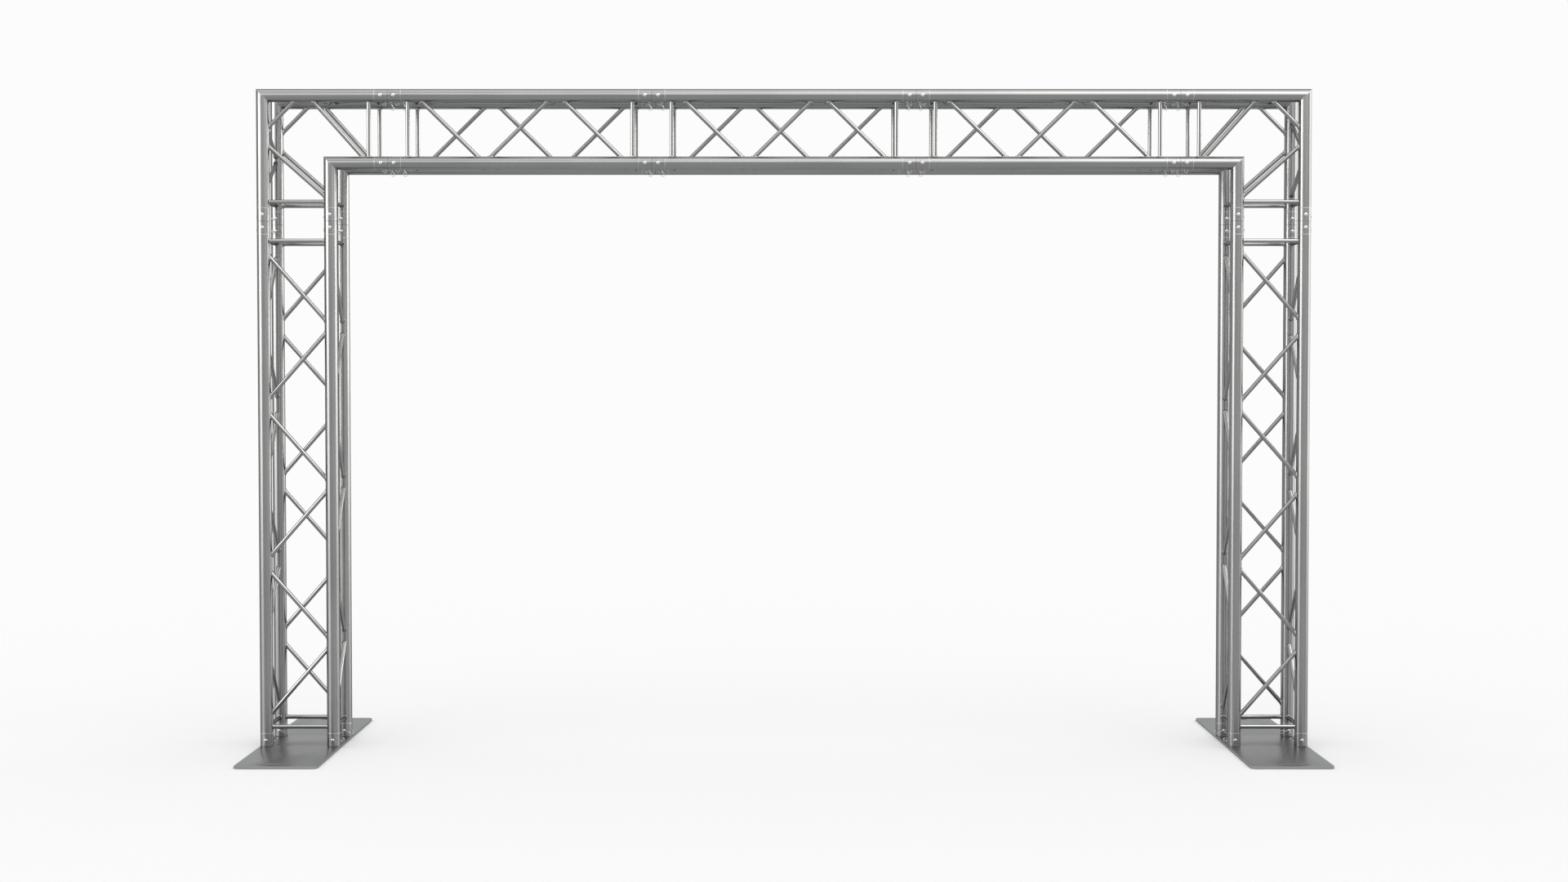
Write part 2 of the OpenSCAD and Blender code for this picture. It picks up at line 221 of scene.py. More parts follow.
coupler_finish = metal(
    "turned_coupler", (0.26, 0.30), NEUTRAL, (0.22, 0.32), (300, 300, 300), (40, 40, 40),
    (0.2, 0.0002), 0.45)
bolt_finish = metal(
    "zinc_plated_bolt", (0.34, 0.42), ZINC, (0.2, 0.32), (500, 500, 500), (90, 90, 90),
    (0.2, 0.0002), 0.6, "part_place")
plate_finish = metal(
    "rolled_plate", (0.31, 0.335), NEUTRAL, (0.30, 0.34), (260, 3, 260), (5, 1.2, 5),
    (0.03, 0.0002), 0.62)
print(len([m for m in bpy.data.materials if m.use_nodes]), "finishes")

# %% [markdown]
# ## Helpers for Geometry Nodes
# A tube that is cut to fit round another tube follows a rule, so it is made by Geometry Nodes:
# a plain unit cylinder is copied onto one point for each tube, and a formula moves every vertex
# to its place. The point carries what the formula needs, such as the tube's two ends, as
# attributes. These helpers keep the node building readable: `vector_step` and `number_step`
# each add one math node, the short names after them stand for the common ones, and `run_rule`
# turns the finished result into a plain mesh.

# %% Node building helpers
def new_rule(name, inputs):
    """A node group for a modifier, with a geometry socket and the named inputs."""
    tree = bpy.data.node_groups.new(name, "GeometryNodeTree")
    tree.interface.new_socket("Seeds", in_out="INPUT", socket_type="NodeSocketGeometry")
    for label, kind, value in inputs:
        socket = tree.interface.new_socket(label, in_out="INPUT", socket_type=kind)
        if value is not None:
            socket.default_value = value
    tree.interface.new_socket("Result", in_out="OUTPUT", socket_type="NodeSocketGeometry")
    nodes = tree.nodes
    return tree, nodes.new("NodeGroupInput").outputs, nodes.new("NodeGroupOutput").inputs[0]


def number_step(tree, operation, *values):
    return add_node(tree, "ShaderNodeMath", dict(enumerate(values)), "Value", operation=operation)


def vector_step(tree, operation, *values, output="Vector"):
    return add_node(
        tree, "ShaderNodeVectorMath", dict(enumerate(values)), output, operation=operation)


def times(tree, a, b):
    return number_step(tree, "MULTIPLY", a, b)


def over(tree, a, b):
    return number_step(tree, "DIVIDE", a, b)


def plus(tree, a, b):
    return vector_step(tree, "ADD", a, b)


def minus(tree, a, b):
    return vector_step(tree, "SUBTRACT", a, b)


def cross(tree, a, b):
    return vector_step(tree, "CROSS_PRODUCT", a, b)


def dot(tree, a, b):
    return vector_step(tree, "DOT_PRODUCT", a, b, output="Value")


def unit(tree, vector):
    return vector_step(tree, "NORMALIZE", vector)


def scale_by(tree, vector, factor):
    return add_node(
        tree, "ShaderNodeVectorMath", {0: vector, "Scale": factor}, "Vector", operation="SCALE")


def named(tree, attribute):
    return add_node(
        tree, "GeometryNodeInputNamedAttribute", {"Name": attribute}, "Attribute",
        data_type="FLOAT_VECTOR")


def store(tree, geometry, attribute, value):
    given = {"Name": attribute, "Geometry": geometry, "Value": value}
    return add_node(
        tree, "GeometryNodeStoreNamedAttribute", given, "Geometry", data_type="FLOAT_VECTOR")


def store_position(tree, geometry, attribute):
    return store(tree, geometry, attribute, add_node(tree, "GeometryNodeInputPosition", {}))


def axes_of(tree, vector):
    node = tree.nodes.new("ShaderNodeSeparateXYZ")
    feed(tree, node.inputs[0], vector)
    return node.outputs["X"], node.outputs["Y"], node.outputs["Z"]


def to_vector(tree, x, y, z):
    return add_node(tree, "ShaderNodeCombineXYZ", {"X": x, "Y": y, "Z": z}, "Vector")


# %% Whole shapes in a rule
def realized(tree, instances):
    return add_node(tree, "GeometryNodeRealizeInstances", {"Geometry": instances})


def copy_to_seeds(tree, seeds, shape):
    """Copies a unit shape onto every seed. Each vertex keeps its first place as attribute ring."""
    marked = store_position(tree, shape, "ring")
    copies = add_node(tree, "GeometryNodeInstanceOnPoints", {"Points": seeds, "Instance": marked})
    return realized(tree, copies)


def move_vertices(tree, geometry, place):
    return add_node(tree, "GeometryNodeSetPosition", {"Geometry": geometry, "Position": place})


def circle(tree, sides, radius):
    return add_node(
        tree, "GeometryNodeCurvePrimitiveCircle", {"Resolution": sides, "Radius": radius}, "Curve")


def sweep_along(tree, curve, profile, caps):
    given = {"Curve": curve, "Profile Curve": profile, "Fill Caps": caps}
    return add_node(tree, "GeometryNodeCurveToMesh", given)


def finish_rule(tree, geometry, material, result):
    """Every rule ends in real geometry with its material."""
    given = {"Geometry": realized(tree, geometry), "Material": material}
    tree.links.new(add_node(tree, "GeometryNodeSetMaterial", given), result)


# %% From a rule to a plain mesh
def link_object(name, mesh):
    piece = bpy.data.objects.new(name, mesh)
    bpy.context.scene.collection.objects.link(piece)
    return piece


def seed_points(name, rows):
    """A mesh of loose points. Each row is a dict of vectors, and its first one is the place."""
    mesh = bpy.data.meshes.new(name)
    first = next(iter(rows[0]))
    mesh.from_pydata([row[first] for row in rows], [], [])
    for key in rows[0]:
        attribute = mesh.attributes.new(key, "FLOAT_VECTOR", "POINT")
        for item, row in zip(attribute.data, rows):
            item.vector = row[key]
    return link_object(name, mesh)


def plain_mesh(piece):
    """The piece's mesh with its modifiers done."""
    depsgraph = bpy.context.evaluated_depsgraph_get()
    return bpy.data.meshes.new_from_object(piece.evaluated_get(depsgraph), depsgraph=depsgraph)


def run_rule(piece, tree, settings):
    """Runs the rule on the piece and keeps the result as its plain mesh."""
    modifier = piece.modifiers.new("rule", "NODES")
    modifier.node_group = tree
    for item in tree.interface.items_tree:
        if item.item_type == "SOCKET" and item.in_out == "INPUT" and item.name in settings:
            modifier[item.identifier] = settings[item.name]
    mesh = plain_mesh(piece)
    piece.modifiers.remove(modifier)
    piece.data = mesh
    return piece


def smooth_but_for_edges(piece, angle=30):
    for face in piece.data.polygons:
        face.use_smooth = True
    piece.data.set_sharp_from_angle(angle=math.radians(angle))
    return piece


print("helpers ready")

# %% [markdown]
# ## The course of the tubes
# Before any tube is made, its two ends are listed. A straight section has four chords, counted
# round from an outer one, and every face zigzags between two of them. The diagonals of a face
# meet on the inner chord, and keep a small gap on the outer chord, where the welder starts them
# side by side. The end frames are square rings of short tubes close to each joint.

# %% Straight sections
# Each one's run, the way to its outer side, the side of its first chord, the number of diagonals
# on a face, and how far the first and the last of them stay from the ends.
STRAIGHT = {
    "leg_left": (Z, -X, -1, 6, LEG_FOOT_INSET, LEG_TOP_INSET),
    "leg_right": (Z, X, 1, 6, LEG_FOOT_INSET, LEG_TOP_INSET),
    "beam_left": (X, Z, -1, 3, BEAM_INSET, BEAM_INSET),
    "beam_middle": (X, Z, -1, 3, BEAM_INSET, BEAM_INSET),
    "beam_right": (X, Z, -1, 3, BEAM_INSET, BEAM_INSET),
}


def straight_frame(name):
    """The four chords' places at the section's start, and the section's length."""
    run, out, first_side = STRAIGHT[name][:3]
    low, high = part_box(name + "_sockets")
    middle = (low + high) / 2
    length = (high - low).dot(run)
    start = middle - run * length / 2
    half = (high - low).y / 2 - CHORD_R
    turns = [(1, first_side), (-1, first_side), (-1, -first_side), (1, -first_side)]
    return [start + out * half * a + Y * half * b for a, b in turns], length


def tube_between(start, end, start_along, end_along):
    return {"start": start, "end": end, "start_along": start_along, "end_along": end_along}


def straight_end_frames(name):
    run = STRAIGHT[name][0]
    chords, length = straight_frame(name)
    return [
        tube_between(chords[k] + run * at, chords[(k + 1) % 4] + run * at, run, run)
        for k in range(4)
        for at in (END_FRAME_INSET, length - END_FRAME_INSET)
    ]


def straight_braces(name):
    run = STRAIGHT[name][0]
    bays, foot, top = STRAIGHT[name][3:]
    chords, length = straight_frame(name)
    pitch = (length - foot - top) / bays
    rows = []
    for k in range(4):
        for i in range(bays):
            a, b = (k + i % 2) % 4, (k + (i + 1) % 2) % 4
            gap_a, gap_b = (NODE_GAP / 2 if c in (0, 3) else 0 for c in (a, b))
            start = chords[a] + run * (foot + i * pitch + gap_a)
            end = chords[b] + run * (foot + (i + 1) * pitch - gap_b)
            rows.append(tube_between(start, end, run, run))
    return rows


for section in STRAIGHT:
    print(
        section, "length", round(straight_frame(section)[1], 3),
        "braces", len(straight_braces(section)))

# %% [markdown]
# A corner is drawn in its own terms: so far in from the outer edge, so far down from the top.
# The right corner is the left one turned half round, which the sign takes care of.

# %% Corners
CORNERS = {"corner_left": 1, "corner_right": -1}


def corner_frame(name):
    """A function that gives the point so far in, back and down, and the corner's arm length."""
    sign = CORNERS[name]
    low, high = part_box(name + "_sockets")
    edge = low.x if sign > 0 else high.x
    arm = high.z - low.z

    def at(across, back, down):
        return Vector((edge + sign * across, sign * back, high.z - down))

    return at, arm


def corner_axes(name):
    """Distances of the outer and the inner chord from the outer edge, and the half depth."""
    low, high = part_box(name + "_sockets")
    half = (high.y - low.y) / 2 - CHORD_R
    return CHORD_R, CHORD_R + 2 * half, half


def corner_end_frames(name):
    at, arm = corner_frame(name)
    outer, inner, half = corner_axes(name)
    ring = arm - END_FRAME_INSET
    rows = []
    for y in (-half, half):
        rows.append(tube_between(at(outer, y, ring), at(inner, y, ring), Z, Z))
        rows.append(tube_between(at(ring, y, outer), at(ring, y, inner), X, X))
    for e in (outer, inner):
        rows.append(tube_between(at(e, -half, ring), at(e, half, ring), Z, Z))
        rows.append(tube_between(at(ring, -half, e), at(ring, half, e), X, X))
    return rows


def corner_braces(name):
    at, arm = corner_frame(name)
    outer, inner, half = corner_axes(name)
    near, far, tie = CORNER_BRACE, arm - CORNER_BRACE_INSET, CORNER_TIE
    rows = []
    for y in (-half, half):
        rows.append(tube_between(at(tie, y, outer), at(outer, y, tie), X, Z))
        rows.append(tube_between(at(near, y, outer), at(far, y, inner), X, X))
        rows.append(tube_between(at(outer, y, near), at(inner, y, far), Z, Z))
    levels = [CORNER_NODE, arm / 2, arm - CORNER_NODE]
    for i, y in enumerate((-half, half)):
        rows.append(tube_between(at(outer, y, levels[i]), at(outer, -y, levels[i + 1]), Z, Z))
        rows.append(tube_between(at(levels[i], y, outer), at(levels[i + 1], -y, outer), X, X))
    return rows


for corner in CORNERS:
    print(corner, "arm", round(corner_frame(corner)[1], 3), "braces", len(corner_braces(corner)))

# %% [markdown]
# ## Bracing tubes
# Each bracing tube is cut at both ends to the saddle shape that fits round its chord. The cut is
# a formula: a point on the tube's skin slides along the tube until it is one chord radius away
# from the chord's axis. Modelling this with booleans would leave long thin faces, while the
# formula puts the end ring of a plain cylinder exactly on the saddle.

# %% The saddle: how far a skin point slides before it meets the chord
def saddle_distance(tree, skin, away, along, chord_radius):
    """skin is the point's offset from the tube's axis, away the tube's way off the chord."""
    drift = scale_by(tree, along, dot(tree, away, along))
    outward = unit(tree, minus(tree, away, drift))
    sideways = unit(tree, cross(tree, along, away))
    aside = dot(tree, skin, sideways)
    room = number_step(
        tree, "SUBTRACT", times(tree, chord_radius, chord_radius), times(tree, aside, aside))
    rise = number_step(tree, "SUBTRACT", number_step(tree, "SQRT", room), dot(tree, skin, outward))
    return over(tree, rise, dot(tree, away, outward))


def tube_skin(tree, direction, reference, ring, radius):
    """The offset from the tube's axis of a point of the unit cylinder."""
    x, y = axes_of(tree, ring)[:2]
    side = unit(tree, cross(tree, reference, direction))
    up = cross(tree, direction, side)
    return plus(
        tree, scale_by(tree, side, times(tree, x, radius)),
        scale_by(tree, up, times(tree, y, radius)))


# %% A cylinder on every seed point
def copy_cylinders(tree, seeds, sides):
    cylinder = add_node(
        tree, "GeometryNodeMeshCylinder", {"Vertices": sides, "Radius": 1.0, "Depth": 2.0}, "Mesh",
        fill_type="TRIANGLE_FAN")
    return copy_to_seeds(tree, seeds, cylinder)


def tube_way(tree):
    """The tube's start, its end, and the way from the one to the other."""
    start, end = named(tree, "start"), named(tree, "end")
    return start, end, unit(tree, minus(tree, end, start))


def place_tube(tree, tubes, radius, away, start_place, end_place):
    """Moves each vertex to its end of the tube and stores what the finish needs."""
    x, y, z = axes_of(tree, named(tree, "ring"))
    at_end = number_step(tree, "GREATER_THAN", z, 0.0)
    step = minus(tree, end_place, start_place)
    place = plus(tree, start_place, scale_by(tree, step, at_end))
    start = named(tree, "start")
    length = vector_step(tree, "DISTANCE", named(tree, "end"), start, output="Value")
    own = to_vector(
        tree, times(tree, x, radius), times(tree, y, radius), times(tree, at_end, length))
    marked = store(tree, tubes, "tube_place", plus(tree, own, start))
    return move_vertices(tree, store(tree, marked, "own_axis", away), place)


# %% The rule for bracing tubes
def bracing_rule():
    tree, given, result = new_rule("bracing tubes", [
        ("Tube radius", "NodeSocketFloat", BRACE_R),
        ("Chord radius", "NodeSocketFloat", CHORD_R),
        ("Sides", "NodeSocketInt", 24),
        ("Finish", "NodeSocketMaterial", None),
    ])
    tubes = copy_cylinders(tree, given["Seeds"], given["Sides"])
    start, end, away = tube_way(tree)
    back = scale_by(tree, away, -1.0)
    radius, chord_radius = given["Tube radius"], given["Chord radius"]
    start_along, end_along = named(tree, "start_along"), named(tree, "end_along")
    skin = tube_skin(tree, away, start_along, named(tree, "ring"), radius)

    def saddle_place(point, way, along):
        slide = saddle_distance(tree, skin, way, along, chord_radius)
        return plus(tree, plus(tree, point, skin), scale_by(tree, way, slide))

    placed = place_tube(
        tree, tubes, radius, away,
        saddle_place(start, away, start_along),
        saddle_place(end, back, end_along))
    finish_rule(tree, placed, given["Finish"], result)
    return tree


bracing = bracing_rule()
print("bracing rule:", len(bracing.nodes), "nodes")

# %% Make the bracing of every section
def in_every_section(straight, corner):
    """What the first function lists for each straight section, and the second for each corner."""
    sections = [*STRAIGHT, *CORNERS]
    return {name: (straight if name in STRAIGHT else corner)(name) for name in sections}


def keep(piece, body, slot, *nodes):
    """What every piece needs: the body it moves with, and the frame parts it stands for, which are
    hidden. The slot is not used.
    """
    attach(piece, body)
    if nodes:
        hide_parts(*nodes)
    return piece


def make_bracing(name, rows, node):
    piece = run_rule(seed_points(name, rows), bracing, {"Finish": brace_finish})
    keep(smooth_but_for_edges(piece), "arch", "brace_tube", node)


braces_of = in_every_section(straight_braces, corner_braces)
end_frames_of = in_every_section(straight_end_frames, corner_end_frames)
for name, braces in braces_of.items():
    make_bracing(name + "_diagonals", braces, name + "_braces")
    make_bracing(name + "_end_rings", end_frames_of[name], name + "_end_frames")
    print(name, len(braces), "diagonals and", len(end_frames_of[name]), "end frame tubes")

# %% [markdown]
# ## Chord tubes
# The chords are plain tubes with flat or mitred ends. The same unit cylinder does for them, with
# a simpler rule: a skin point slides until it meets a plane through the tube's end. A flat end's
# plane is square to the tube, and a mitre's plane halves the corner's right angle.

# %% The rule for chord tubes
def chord_rule():
    tree, given, result = new_rule("chord tubes", [
        ("Tube radius", "NodeSocketFloat", CHORD_R),
        ("Sides", "NodeSocketInt", 64),
        ("Finish", "NodeSocketMaterial", None),
    ])
    tubes = copy_cylinders(tree, given["Seeds"], given["Sides"])
    start, end, away = tube_way(tree)
    skin = tube_skin(tree, away, (0.0, 1.0, 0.0), named(tree, "ring"), given["Tube radius"])

    def cut_place(point, plane):
        slide = over(tree, dot(tree, skin, plane), dot(tree, away, plane))
        return plus(tree, point, minus(tree, skin, scale_by(tree, away, slide)))

    placed = place_tube(
        tree, tubes, given["Tube radius"], away,
        cut_place(start, named(tree, "start_cut")),
        cut_place(end, named(tree, "end_cut")))
    finish_rule(tree, placed, given["Finish"], result)
    return tree


def chord_between(start, end, start_cut=None, end_cut=None):
    square = (end - start).normalized()
    cuts = {"start_cut": start_cut or square, "end_cut": end_cut or square}
    return {"start": start, "end": end, **cuts}


def straight_chords(name):
    run = STRAIGHT[name][0]
    chords, length = straight_frame(name)
    return [chord_between(c + run * SOCKET_LEN, c + run * (length - SOCKET_LEN)) for c in chords]


def corner_chords(name):
    at, arm = corner_frame(name)
    outer, inner, half = corner_axes(name)
    mitre = (X * CORNERS[name] + Z).normalized()
    end = arm - SOCKET_LEN
    rows = []
    for y in (-half, half):
        for e in (outer, inner):
            rows.append(chord_between(at(e, y, end), at(e, y, e), end_cut=mitre))
            rows.append(chord_between(at(e, y, e), at(end, y, e), start_cut=mitre))
    return rows


chord_tree = chord_rule()
for name, rows in in_every_section(straight_chords, corner_chords).items():
    piece = run_rule(seed_points(name + "_chord_tubes", rows), chord_tree, {"Finish": chord_finish})
    keep(smooth_but_for_edges(piece), "arch", "chord_tube", name + "_chords")
    print(piece.name, len(rows), "tubes,", len(piece.data.polygons), "faces")

# %% [markdown]
# ## Weld beads
# A bead runs round the foot of every bracing tube, in the corner between the tube and its chord.
# It follows the same saddle as the tube's end. A small ring is copied onto every tube end, and
# each of its points is pushed off the saddle line, partly away from the tube and partly away
# from the chord. Its thickness wanders a little, as it does when a bead is laid by hand. A bead
# is only a few millimetres wide and there are hundreds, so each has few faces.

# %% The rule for beads
BEAD_R = 0.0024
BEAD_SIDES, BEAD_PROFILE_SIDES = 20, 5
RING_PROFILE = 0.25
WANDER, WANDER_CELLS = 0.35, 160.0


def bead_rule():
    tree, given, result = new_rule("weld beads", [
        ("Tube radius", "NodeSocketFloat", BRACE_R),
        ("Chord radius", "NodeSocketFloat", CHORD_R),
        ("Bead radius", "NodeSocketFloat", BEAD_R),
        ("Wander", "NodeSocketFloat", WANDER),
        ("Finish", "NodeSocketMaterial", None),
    ])
    path = circle(tree, BEAD_SIDES, 1.0)
    ring = sweep_along(tree, path, circle(tree, BEAD_PROFILE_SIDES, RING_PROFILE), False)
    beads = copy_to_seeds(tree, given["Seeds"], ring)

    foot, away, along = named(tree, "foot"), named(tree, "away"), named(tree, "along")
    x, y, z = axes_of(tree, named(tree, "ring"))
    flat_ring = to_vector(tree, x, y, 0.0)
    spread = vector_step(tree, "LENGTH", flat_ring, output="Value")
    unit_ring = scale_by(tree, flat_ring, over(tree, 1.0, spread))
    off_tube = tube_skin(tree, away, along, unit_ring, 1.0)
    skin = scale_by(tree, off_tube, given["Tube radius"])
    slide = saddle_distance(tree, skin, away, along, given["Chord radius"])
    from_axis = plus(tree, skin, scale_by(tree, away, slide))
    drift = scale_by(tree, along, dot(tree, from_axis, along))
    off_chord = unit(tree, minus(tree, from_axis, drift))
    seam = plus(tree, foot, from_axis)

    noise = add_node(tree, "ShaderNodeTexNoise", {"Scale": WANDER_CELLS, "Vector": seam}, "Fac")
    swing = times(tree, number_step(tree, "SUBTRACT", noise, 0.5), given["Wander"])
    size = times(tree, given["Bead radius"], number_step(tree, "ADD", 1.0, swing))
    across = over(tree, number_step(tree, "SUBTRACT", spread, 1.0), RING_PROFILE)
    upward = over(tree, z, RING_PROFILE)
    push = plus(
        tree, scale_by(tree, off_tube, times(tree, across, size)),
        scale_by(tree, off_chord, times(tree, upward, size)))
    placed = move_vertices(tree, beads, plus(tree, seam, push))
    finish_rule(tree, placed, given["Finish"], result)
    return tree


def tube_feet(rows):
    """Both ends of each tube, as the place on the chord's axis and the way off it."""
    feet = []
    for row in rows:
        away = (row["end"] - row["start"]).normalized()
        feet.append({"foot": row["start"], "away": away, "along": row["start_along"]})
        feet.append({"foot": row["end"], "away": -away, "along": row["end_along"]})
    return feet


bead_tree = bead_rule()
for name, braces in braces_of.items():
    feet = tube_feet(braces + end_frames_of[name])
    piece = run_rule(seed_points(name + "_brace_welds", feet), bead_tree, {"Finish": weld_finish})
    keep(smooth_but_for_edges(piece, 80), "arch", "brace_tube")
    print(piece.name, len(feet), "beads,", len(piece.data.polygons), "faces")

# %% [markdown]
# ## Turned parts
# Sockets, pins and bolts are round parts with holes in them, and many copies of each. One is
# made carefully as a mesh: a profile turned round its axis, and its holes cut with a Boolean.
# Then a rule copies it to its places. The copies remember the coordinates of the first one, so
# the turning rings in the finish sit the same way on each.

# %% Turning and drilling
def turned(name, profile, sides=64, closed_profile=False):
    """Turns a profile of (radius, height) round Z. A radius of 0 closes the end."""
    mesh = bpy.data.meshes.new(name)
    shape = bmesh.new()
    rings = []
    for radius, height in profile:
        if radius == 0:
            rings.append([shape.verts.new((0, 0, height))] * sides)
        else:
            rings.append([
                shape.verts.new((radius * math.cos(a), radius * math.sin(a), height))
                for a in (2 * math.pi * i / sides for i in range(sides))
            ])
    pairs = list(zip(rings, rings[1:] + rings[:1]))
    for low, high in pairs if closed_profile else pairs[:-1]:
        for i in range(sides):
            corners = [low[i], low[(i + 1) % sides], high[(i + 1) % sides], high[i]]
            shape.faces.new(list(dict.fromkeys(corners)))
    bmesh.ops.recalc_face_normals(shape, faces=shape.faces)
    shape.to_mesh(mesh)
    shape.free()
    return link_object(name, mesh)


def drill(piece, cutter):
    """Cuts the cutter's shape out of the piece and removes the cutter."""
    cut = piece.modifiers.new("cut", "BOOLEAN")
    cut.operation = "DIFFERENCE"
    cut.solver = "EXACT"
    cut.object = cutter
    mesh = plain_mesh(piece)
    piece.modifiers.remove(cut)
    piece.data = mesh
    bpy.data.objects.remove(cutter)
    return piece


# %% The rule that copies a part to its places
def copies_rule():
    tree, given, result = new_rule("copies of a part", [
        ("Part", "NodeSocketObject", None),
        ("Finish", "NodeSocketMaterial", None),
    ])
    part = add_node(tree, "GeometryNodeObjectInfo", {"Object": given["Part"]}, "Geometry")
    copies = add_node(tree, "GeometryNodeInstanceOnPoints", {
        "Points": given["Seeds"],
        "Instance": store_position(tree, part, "part_place"),
        "Rotation": add_node(tree, "FunctionNodeEulerToRotation", {"Euler": named(tree, "turn")}),
    })
    finish_rule(tree, copies, given["Finish"], result)
    return tree


def seat(place, x_axis, z_axis):
    """A copy's place and turn, from where its own X and Z point."""
    y_axis = z_axis.cross(x_axis)
    turn = Matrix((x_axis, y_axis, z_axis)).transposed().to_euler()
    return {"place": place, "turn": Vector(turn), "own_axis": z_axis}


def copy_part(name, part, rows, finish, body, slot, *nodes):
    piece = run_rule(seed_points(name, rows), copies_tree, {"Part": part, "Finish": finish})
    return keep(piece, body, slot, *nodes)


copies_tree = copies_rule()
print("copies rule:", len(copies_tree.nodes), "nodes")

# %% [markdown]
# ## Sockets
# Each chord ends in a turned socket that takes half a coupler. Its rim has a small chamfer, so
# two sections meet in a fine groove, and a tapered hole goes through it for the pin. The hole's
# mouths are eased, because a pin has to start in them without catching.

# %% One socket, with its mouth at the origin
RIM_CHAMFER = 0.0007
BORE_R, BORE_TIP_R, BORE_DEPTH, BORE_LIP = 0.0181, 0.0141, 0.044, 0.001
PIN_BIG_R, PIN_SMALL_R, PIN_GAP = 0.00675, 0.0055, 0.0001


def pin_radius(inward):
    """Radius of a pin so far in from its chord's axis. It tapers from one side to the other."""
    return (PIN_BIG_R + PIN_SMALL_R) / 2 - (PIN_BIG_R - PIN_SMALL_R) * inward / (2 * CHORD_R)


def pin_hole_cutter(reach=0.027, flare=0.0024, depth=0.0006):
    """A tapered cutter along Z that flares from a little depth under the socket's skin."""
    mouth = CHORD_R - depth
    profile = [(0, -reach)]
    for z, extra in ((-reach, flare), (-mouth, 0), (mouth, 0), (reach, flare)):
        profile.append((pin_radius(z) + PIN_GAP + extra, z))
    profile.append((0, reach))
    return turned("pin_hole", profile, 32)


socket_part = turned("socket_part", [
    (BORE_R, 0), (CHORD_R - RIM_CHAMFER, 0), (CHORD_R, RIM_CHAMFER), (CHORD_R, SOCKET_LEN),
    (BORE_TIP_R - BORE_LIP, SOCKET_LEN), (BORE_TIP_R - BORE_LIP, BORE_DEPTH),
    (BORE_TIP_R, BORE_DEPTH),
], 64, closed_profile=True)
cutter = pin_hole_cutter()
cutter.data.transform(Matrix.Rotation(math.radians(-90), 4, "X"))
cutter.data.transform(Matrix.Translation((0, 0, PIN_INSET)))
smooth_but_for_edges(drill(socket_part, cutter))
print("socket:", len(socket_part.data.polygons), "faces")

# %% Sockets at both ends of every chord
def socket_seat(place, into):
    """into points along the chord, away from the joint. A front pin's hole narrows backwards."""
    inward = -Y if place.y > 0 else Y
    return seat(place, inward.cross(into), into)


def straight_sockets(name):
    run = STRAIGHT[name][0]
    chords, length = straight_frame(name)
    near_end = [socket_seat(c, run) for c in chords]
    far_end = [socket_seat(c + run * length, -run) for c in chords]
    return near_end + far_end


def corner_sockets(name):
    at, arm = corner_frame(name)
    outer, inner, half = corner_axes(name)
    rows = []
    for y in (-half, half):
        for e in (outer, inner):
            rows.append(socket_seat(at(e, y, arm), Z))
            rows.append(socket_seat(at(arm, y, e), X * -CORNERS[name]))
    return rows


sockets_of = in_every_section(straight_sockets, corner_sockets)
for name, rows in sockets_of.items():
    piece = copy_part(
        name + "_turned_sockets", socket_part, rows, socket_finish, "arch", "socket",
        name + "_sockets")
    print(piece.name, len(rows), "sockets,", len(piece.data.polygons), "faces")

# %% [markdown]
# ## Girth and mitre welds
# A shallow bead runs round each socket where it is welded to its tube. At the corners, a bead
# follows the mitre all the way round, which is an ellipse leaning at 45 degrees. The first is a
# turned part. The second is a closed path with a round bead swept along it, and the same
# sweeping rule makes the wire of the spring clips later.

# %% Girth welds
GIRTH_HEIGHT = 0.0003
GIRTH_HALF = 0.0022
GIRTH_DEPTH = 0.0005
GIRTH_STEPS = 6


def girth_point(i):
    """(radius, height) of the bead's humped profile, whose feet are just under the tube's skin."""
    hump = (GIRTH_HEIGHT + GIRTH_DEPTH) * math.sin(math.pi * i / GIRTH_STEPS)
    return CHORD_R - GIRTH_DEPTH + hump, SOCKET_LEN - GIRTH_HALF + 2 * GIRTH_HALF * i / GIRTH_STEPS


girth_part = turned(
    "girth_part", [girth_point(i) for i in range(GIRTH_STEPS + 1)], 48, closed_profile=True)
smooth_but_for_edges(girth_part, 60)

for name, rows in sockets_of.items():
    copy_part(name + "_girth_welds", girth_part, rows, weld_finish, "arch", "chord_tube")
print("girth welds:", sum(len(rows) for rows in sockets_of.values()))

# %% The sweeping rule
def sweep_rule():
    tree, given, result = new_rule("wire along a path", [
        ("Wire radius", "NodeSocketFloat", 0.001),
        ("Sides", "NodeSocketInt", 10),
        ("Finish", "NodeSocketMaterial", None),
    ])
    path = add_node(tree, "GeometryNodeMeshToCurve", {"Mesh": given["Seeds"]})
    profile = circle(tree, given["Sides"], given["Wire radius"])
    finish_rule(tree, sweep_along(tree, path, profile, True), given["Finish"], result)
    return tree


def swept(name, paths, closed, radius, sides, finish):
    """A wire along each path, a list of points."""
    points, edges = [], []
    for path in paths:
        first = len(points)
        points += path
        edges += [(first + i, first + i + 1) for i in range(len(path) - 1)]
        if closed:
            edges.append((first + len(path) - 1, first))
    mesh = bpy.data.meshes.new(name)
    mesh.from_pydata(points, edges, [])
    settings = {"Wire radius": radius, "Sides": sides, "Finish": finish}
    piece = run_rule(link_object(name, mesh), sweep_tree, settings)
    return smooth_but_for_edges(piece, 50)


sweep_tree = sweep_rule()
print("sweeping rule:", len(sweep_tree.nodes), "nodes")

# %% Mitre welds
MITRE_BEAD_R = 0.0009


def mitre_path(name, e, y, points=48):
    """The ellipse in which the two mitred tubes meet."""
    at = corner_frame(name)[0]
    path = []
    for i in range(points):
        angle = 2 * math.pi * i / points
        slant, back = CHORD_R * math.cos(angle), CHORD_R * math.sin(angle)
        path.append(at(e + slant, y + back, e + slant))
    return path


